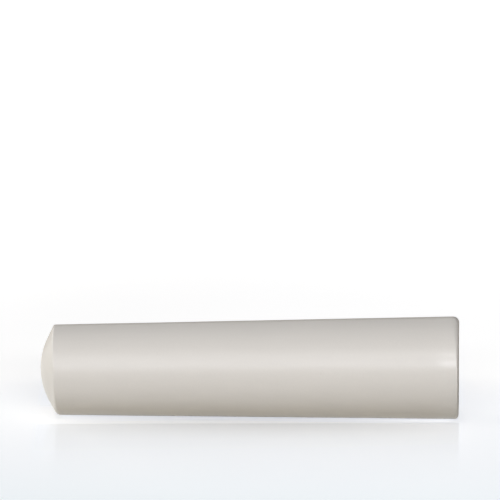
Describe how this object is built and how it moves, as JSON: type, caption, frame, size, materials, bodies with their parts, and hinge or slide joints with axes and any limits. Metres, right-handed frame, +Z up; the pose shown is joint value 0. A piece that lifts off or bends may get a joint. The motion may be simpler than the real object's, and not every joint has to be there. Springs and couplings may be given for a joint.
{
  "type": "railroad chalk",
  "caption": "Thick tapered stick of marking chalk, cast solid in one piece, with a domed marking end, softly rounded edges and a flat butt.",
  "frame": {"origin": "on the surface that the stick lies on, under the middle of the stick's box", "axes": "+Z up; the stick lies on its side along X, with the butt towards +X and the domed marking end towards -X. Its own axis rises 0.88 degrees towards the butt, because the side is tapered"},
  "size_m": [0.1018, 0.025, 0.0249],
  "materials": {
    "chalk": "matt, dense cast chalk with a soft powdery sheen"
  },
  "bodies": {
    "root": {"chalk_stick": "chalk"}
  },
  "joints": []
}
